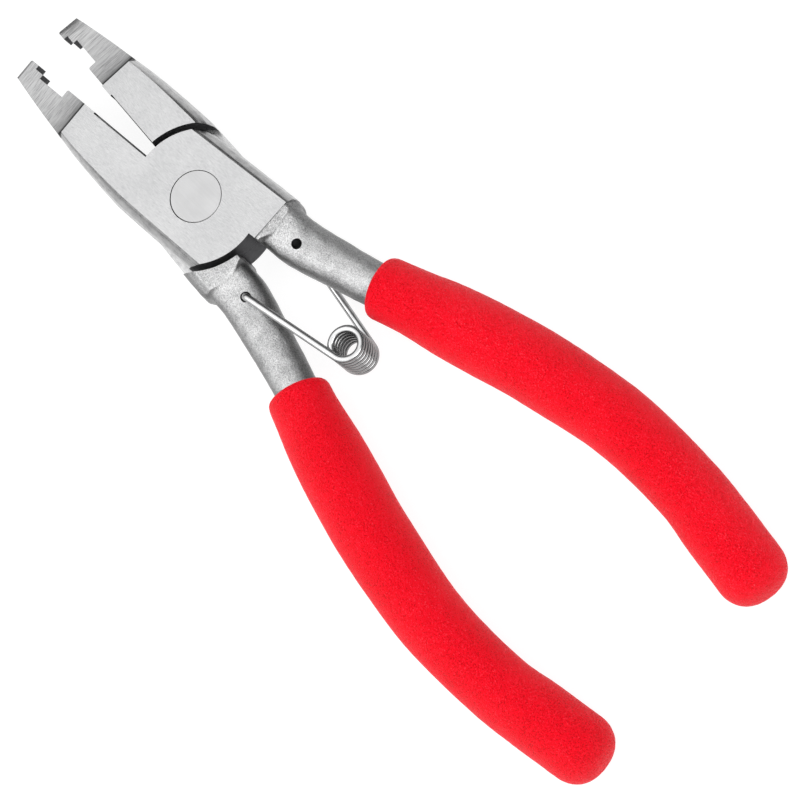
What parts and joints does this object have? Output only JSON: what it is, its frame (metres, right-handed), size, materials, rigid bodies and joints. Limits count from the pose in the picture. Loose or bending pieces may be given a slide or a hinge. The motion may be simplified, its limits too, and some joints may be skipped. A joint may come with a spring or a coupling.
{
  "type": "crimping pliers",
  "caption": "Lap-joint pliers with stepped crimping jaws, a torsion return spring, a flush pivot rivet and dipped soft grips.",
  "frame": {"origin": "on the pivot rivet's axis, in the back face of the lap joint", "axes": "+X from the pivot to the jaw tips along the tool's middle line, +Z along the rivet out of the front joint face, +Y completes the right-handed frame and is the side of the front lever's jaw"},
  "size_m": [0.1489, 0.0522, 0.012],
  "materials": {
    "forged_steel": "ground satin on the jaws and joint, blasted on the bare handles",
    "rivet_steel": "ground flush, satin",
    "grip_plastic": "dipped soft plastic, matte with a fine pebble grain",
    "spring_wire": "bright drawn wire"
  },
  "bodies": {
    "front_half": {"front_lever": "forged_steel", "pivot_rivet": "rivet_steel", "front_lever_grip": "grip_plastic"},
    "rear_half": {"rear_lever": "forged_steel", "rear_lever_grip": "grip_plastic"},
    "spring_rear_leg": {"spring_rear_leg": "spring_wire"},
    "spring_coil": {"spring_coil": "spring_wire"},
    "spring_front_leg": {"spring_front_leg": "spring_wire"}
  },
  "joints": [
    {"name": "pivot", "type": "hinge", "parent": "front_half", "child": "rear_half", "pos_m": [0, 0, 0.0043], "axis": [0, 0, 1], "range_deg": [-6, 8.8], "stiffness_Nm_per_rad": 0.18},
    {"name": "rear_leg_turn", "type": "hinge", "parent": "front_half", "child": "spring_rear_leg", "pos_m": [-0.01742, -0.00565, 0.0043], "axis": [0, 0, 1], "range_deg": [-6.5, 9.3]},
    {"name": "coil_wind", "type": "hinge", "parent": "spring_rear_leg", "child": "spring_coil", "pos_m": [-0.035, 0, 0.0043], "axis": [0, 0, 1], "range_deg": [-4.8, 3.4]},
    {"name": "front_leg_wind", "type": "hinge", "parent": "spring_coil", "child": "spring_front_leg", "pos_m": [-0.035, 0, 0.0043], "axis": [0, 0, 1], "range_deg": [-4.8, 3.4]}
  ],
  "couplings": [
    {"joint": "rear_leg_turn", "follows": "pivot", "ratio": 0.9955},
    {"joint": "coil_wind", "follows": "pivot", "ratio": -0.4955},
    {"joint": "front_leg_wind", "follows": "pivot", "ratio": -0.4955}
  ]
}
